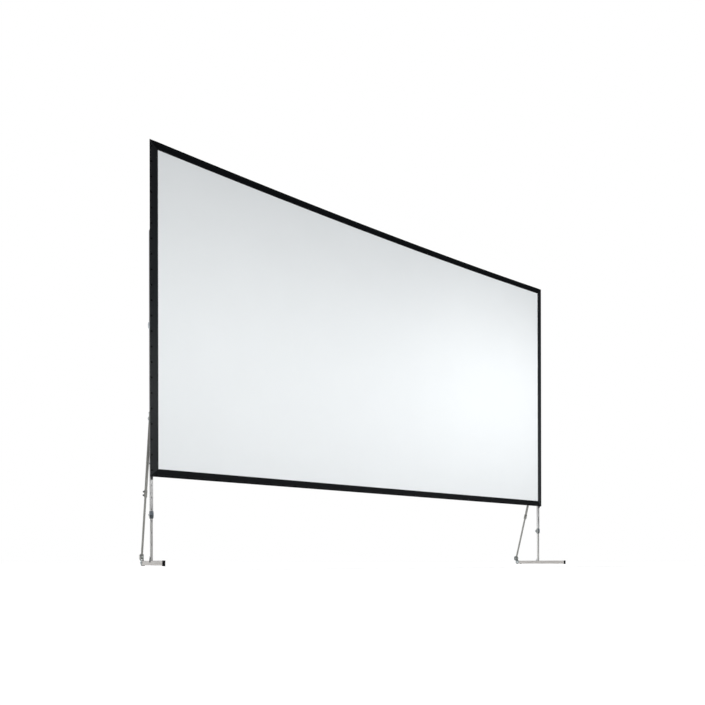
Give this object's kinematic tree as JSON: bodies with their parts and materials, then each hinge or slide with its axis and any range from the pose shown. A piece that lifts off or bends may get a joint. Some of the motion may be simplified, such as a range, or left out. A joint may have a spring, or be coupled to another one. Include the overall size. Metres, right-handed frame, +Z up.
{
  "type": "projection screen",
  "caption": "Wide portable projection screen: bordered white cloth studded onto a plug-together aluminium frame on two telescopic T-legs with braces.",
  "frame": {"origin": "on the floor, midway between the two legs and midway between the front and the back of the feet", "axes": "+X along the picture's width, to the right as seen from the front; +Y towards the back, so the picture faces -Y; +Z up"},
  "size_m": [4.9386, 0.809, 3.579],
  "materials": {
    "surface_cloth": "matt projection cloth",
    "border_cloth": "matt black cloth",
    "frame_aluminium": "satin anodised",
    "mast_aluminium": "satin anodised",
    "leg_aluminium": "satin anodised",
    "brace_aluminium": "satin anodised",
    "foot_paint": "warm grey powder coat",
    "black_plastic": "moulded",
    "dark_plastic": "moulded",
    "grey_plastic": "moulded",
    "black_steel": "black powder coat",
    "dark_steel": "blackened",
    "zinc_steel": "zinc plated",
    "clevis_steel": "zinc plated",
    "nickel_studs": "nickel plated",
    "black_rubber": "moulded"
  },
  "bodies": {
    "root": {"projection_surface": "surface_cloth", "cloth_border": "border_cloth", "stud_posts": "nickel_studs", "rail_couplers": "frame_aluminium", "rail_screws": "zinc_steel", "mast_caps": "black_plastic", "hook_rivets": "dark_steel", "brace_pivot_bolts": "zinc_steel", "rail_top_left": "frame_aluminium", "rail_top_middle": "frame_aluminium", "rail_top_right": "frame_aluminium", "rail_bottom_left": "frame_aluminium", "rail_bottom_middle": "frame_aluminium", "rail_bottom_right": "frame_aluminium", "rail_left_lower": "frame_aluminium", "rail_left_upper": "frame_aluminium", "rail_right_lower": "frame_aluminium", "rail_right_upper": "frame_aluminium", "corner_bottom_left": "black_plastic", "corner_bottom_right": "black_plastic", "corner_top_left": "black_plastic", "corner_top_right": "black_plastic", "mast_left": "mast_aluminium", "mast_right": "mast_aluminium", "frame_hook_left": "black_steel", "frame_hook_right": "black_steel", "frame_clamp_left": "grey_plastic", "frame_clamp_right": "grey_plastic", "height_clamp_left": "dark_plastic", "height_clamp_right": "dark_plastic", "brace_collar_left": "zinc_steel", "brace_collar_right": "zinc_steel"},
    "leg_left": {"leg_tube_left": "leg_aluminium", "leg_gusset_left": "zinc_steel", "foot_tube_left": "foot_paint", "foot_cap_left": "black_rubber", "foot_pads_left": "black_rubber", "foot_clevis_left": "clevis_steel"},
    "brace_upper_left": {"brace_upper_left": "brace_aluminium", "brace_sleeve_left": "brace_aluminium"},
    "brace_lower_left": {"brace_lower_left": "brace_aluminium"},
    "frame_knob_left": {"frame_clamp_knob_left": "dark_plastic"},
    "height_knob_left": {"height_clamp_knob_left": "grey_plastic"},
    "thumb_screw_upper_left": {"brace_thumb_screw_upper_left": "dark_steel"},
    "thumb_screw_lower_left": {"brace_thumb_screw_lower_left": "dark_steel"},
    "foot_knob_left": {"foot_knob_left": "dark_plastic"},
    "leg_right": {"leg_tube_right": "leg_aluminium", "leg_gusset_right": "zinc_steel", "foot_tube_right": "foot_paint", "foot_cap_right": "black_rubber", "foot_pads_right": "black_rubber", "foot_clevis_right": "clevis_steel"},
    "brace_upper_right": {"brace_upper_right": "brace_aluminium", "brace_sleeve_right": "brace_aluminium"},
    "brace_lower_right": {"brace_lower_right": "brace_aluminium"},
    "frame_knob_right": {"frame_clamp_knob_right": "dark_plastic"},
    "height_knob_right": {"height_clamp_knob_right": "grey_plastic"},
    "thumb_screw_upper_right": {"brace_thumb_screw_upper_right": "dark_steel"},
    "thumb_screw_lower_right": {"brace_thumb_screw_lower_right": "dark_steel"},
    "foot_knob_right": {"foot_knob_right": "dark_plastic"}
  },
  "joints": [
    {"name": "leg_slide_left", "type": "slide", "parent": "root", "child": "leg_left", "axis": [0, 0, 1], "range_m": [-0.2, 0.2]},
    {"name": "brace_hinge_left", "type": "hinge", "parent": "root", "child": "brace_upper_left", "pos_m": [-2.446, 0.042, 1.252], "axis": [1, 0, 0], "range_deg": [-2.6, 2.6]},
    {"name": "brace_extend_left", "type": "slide", "parent": "brace_upper_left", "child": "brace_lower_left", "axis": [0, 0.2725, -0.9622], "range_m": [-0.196, 0.196]},
    {"name": "frame_knob_turn_left", "type": "hinge", "parent": "root", "child": "frame_knob_left", "pos_m": [-2.4225, 0.028, 2.031], "axis": [0, 1, 0], "range_deg": [0, 720]},
    {"name": "height_knob_turn_left", "type": "hinge", "parent": "root", "child": "height_knob_left", "pos_m": [-2.446, 0.029, 0.432], "axis": [0, 1, 0], "range_deg": [0, 720]},
    {"name": "thumb_screw_upper_turn_left", "type": "hinge", "parent": "brace_upper_left", "child": "thumb_screw_upper_left", "pos_m": [-2.4578, 0.21286, 0.64873], "axis": [-1, 0, 0], "range_deg": [0, 720]},
    {"name": "thumb_screw_lower_turn_left", "type": "hinge", "parent": "brace_upper_left", "child": "thumb_screw_lower_left", "pos_m": [-2.4578, 0.22131, 0.6189], "axis": [-1, 0, 0], "range_deg": [0, 720]},
    {"name": "foot_knob_turn_left", "type": "hinge", "parent": "leg_left", "child": "foot_knob_left", "pos_m": [-2.459, 0.3745, 0.078], "axis": [-1, 0, 0], "range_deg": [0, 720]},
    {"name": "leg_slide_right", "type": "slide", "parent": "root", "child": "leg_right", "axis": [0, 0, 1], "range_m": [-0.2, 0.2]},
    {"name": "brace_hinge_right", "type": "hinge", "parent": "root", "child": "brace_upper_right", "pos_m": [2.446, 0.042, 1.252], "axis": [1, 0, 0], "range_deg": [-2.6, 2.6]},
    {"name": "brace_extend_right", "type": "slide", "parent": "brace_upper_right", "child": "brace_lower_right", "axis": [0, 0.2725, -0.9622], "range_m": [-0.196, 0.196]},
    {"name": "frame_knob_turn_right", "type": "hinge", "parent": "root", "child": "frame_knob_right", "pos_m": [2.4225, 0.028, 2.031], "axis": [0, 1, 0], "range_deg": [0, 720]},
    {"name": "height_knob_turn_right", "type": "hinge", "parent": "root", "child": "height_knob_right", "pos_m": [2.446, 0.029, 0.432], "axis": [0, 1, 0], "range_deg": [0, 720]},
    {"name": "thumb_screw_upper_turn_right", "type": "hinge", "parent": "brace_upper_right", "child": "thumb_screw_upper_right", "pos_m": [2.4578, 0.21286, 0.64873], "axis": [1, 0, 0], "range_deg": [0, 720]},
    {"name": "thumb_screw_lower_turn_right", "type": "hinge", "parent": "brace_upper_right", "child": "thumb_screw_lower_right", "pos_m": [2.4578, 0.22131, 0.6189], "axis": [1, 0, 0], "range_deg": [0, 720]},
    {"name": "foot_knob_turn_right", "type": "hinge", "parent": "leg_right", "child": "foot_knob_right", "pos_m": [2.459, 0.3745, 0.078], "axis": [1, 0, 0], "range_deg": [0, 720]}
  ],
  "couplings": [
    {"joint": "brace_hinge_left", "follows": "leg_slide_left", "rad_per_m": 0.22333},
    {"joint": "brace_extend_left", "follows": "leg_slide_left", "ratio": -0.96215},
    {"joint": "brace_hinge_right", "follows": "leg_slide_right", "rad_per_m": 0.22333},
    {"joint": "brace_extend_right", "follows": "leg_slide_right", "ratio": -0.96215}
  ]
}
